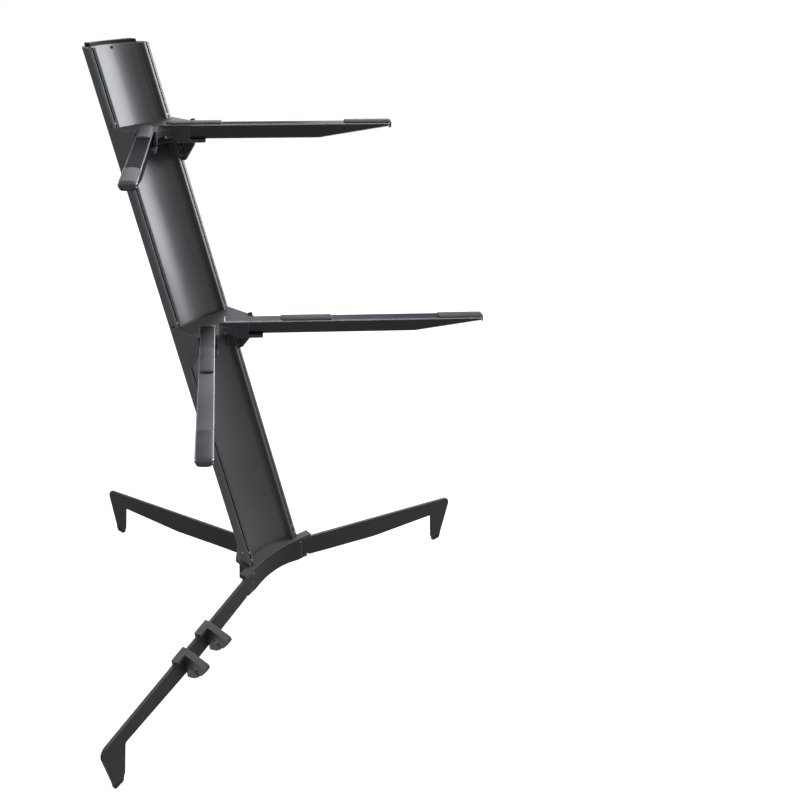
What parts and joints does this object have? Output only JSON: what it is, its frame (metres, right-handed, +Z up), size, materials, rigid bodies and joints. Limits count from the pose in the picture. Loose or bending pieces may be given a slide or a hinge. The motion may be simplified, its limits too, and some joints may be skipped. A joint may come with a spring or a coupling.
{
  "type": "keyboard stand",
  "caption": "Keyboard stand with a leaning column on splayed legs, sliding brackets that carry padded arms, and storage clips on a leg.",
  "frame": {"origin": "middle of the stand's box, on the floor", "axes": "+Z up, -Y towards the player, +X to the player's right hand side seen from the front"},
  "size_m": [1.0258, 0.7338, 1.119],
  "materials": {
    "column_aluminium": "black anodised, satin",
    "cast_aluminium": "black powder coat, fine texture",
    "arm_aluminium": "black powder coat, satin",
    "leg_steel": "black powder coat, matt",
    "fastener_steel": "blackened",
    "pad_rubber": "matt",
    "foot_rubber": "matt",
    "cap_plastic": "moulded, matt",
    "clip_plastic": "moulded, satin"
  },
  "bodies": {
    "base": {"column_extrusion": "column_aluminium", "column_top_cap": "cap_plastic", "cap_screw": "fastener_steel", "base_hub": "cast_aluminium", "rail_tongues": "fastener_steel", "column_screws": "fastener_steel", "leg_hinge_pins": "fastener_steel", "pin_set_screws": "fastener_steel", "rear_leg": "leg_steel", "rear_leg_bolts": "fastener_steel", "rear_foot_tip": "foot_rubber"},
    "left_leg_set": {"left_leg": "leg_steel", "left_foot_tip": "foot_rubber"},
    "right_leg_set": {"right_leg": "leg_steel", "right_foot_tip": "foot_rubber"},
    "inner_clip": {"inner_leg_clip": "clip_plastic"},
    "outer_clip": {"outer_leg_clip": "clip_plastic"},
    "lower_tier": {"lower_bracket": "cast_aluminium", "lower_left_arm": "arm_aluminium", "lower_right_arm": "arm_aluminium", "lower_left_inner_pad": "pad_rubber", "lower_left_outer_pad": "pad_rubber", "lower_right_inner_pad": "pad_rubber", "lower_right_outer_pad": "pad_rubber", "lower_arm_screws": "fastener_steel", "lower_clamp_screws": "fastener_steel", "lower_slide_nuts": "fastener_steel"},
    "upper_tier": {"upper_bracket": "cast_aluminium", "upper_left_arm": "arm_aluminium", "upper_right_arm": "arm_aluminium", "upper_left_inner_pad": "pad_rubber", "upper_left_outer_pad": "pad_rubber", "upper_right_inner_pad": "pad_rubber", "upper_right_outer_pad": "pad_rubber", "upper_arm_screws": "fastener_steel", "upper_clamp_screws": "fastener_steel", "upper_slide_nuts": "fastener_steel"}
  },
  "joints": [
    {"name": "left_leg_swing", "type": "hinge", "parent": "base", "child": "left_leg_set", "pos_m": [-0.086, -0.16108, 0.1555], "axis": [0, 0, -1], "range_deg": [0, 80]},
    {"name": "right_leg_swing", "type": "hinge", "parent": "base", "child": "right_leg_set", "pos_m": [0.086, -0.16108, 0.1555], "axis": [0, 0, 1], "range_deg": [0, 80]},
    {"name": "lower_tier_slide", "type": "slide", "parent": "base", "child": "lower_tier", "axis": [0, 0.3795, 0.9252], "range_m": [-0.25, 0.15]},
    {"name": "upper_tier_slide", "type": "slide", "parent": "base", "child": "upper_tier", "axis": [0, 0.3795, 0.9252], "range_m": [-0.1, 0.11]},
    {"name": "inner_clip_slide", "type": "slide", "parent": "left_leg_set", "child": "inner_clip", "axis": [-0.9707, -0.1712, -0.1687], "range_m": [-0.045, 0.015]},
    {"name": "outer_clip_slide", "type": "slide", "parent": "left_leg_set", "child": "outer_clip", "axis": [-0.9707, -0.1712, -0.1687], "range_m": [-0.015, 0.06]}
  ]
}
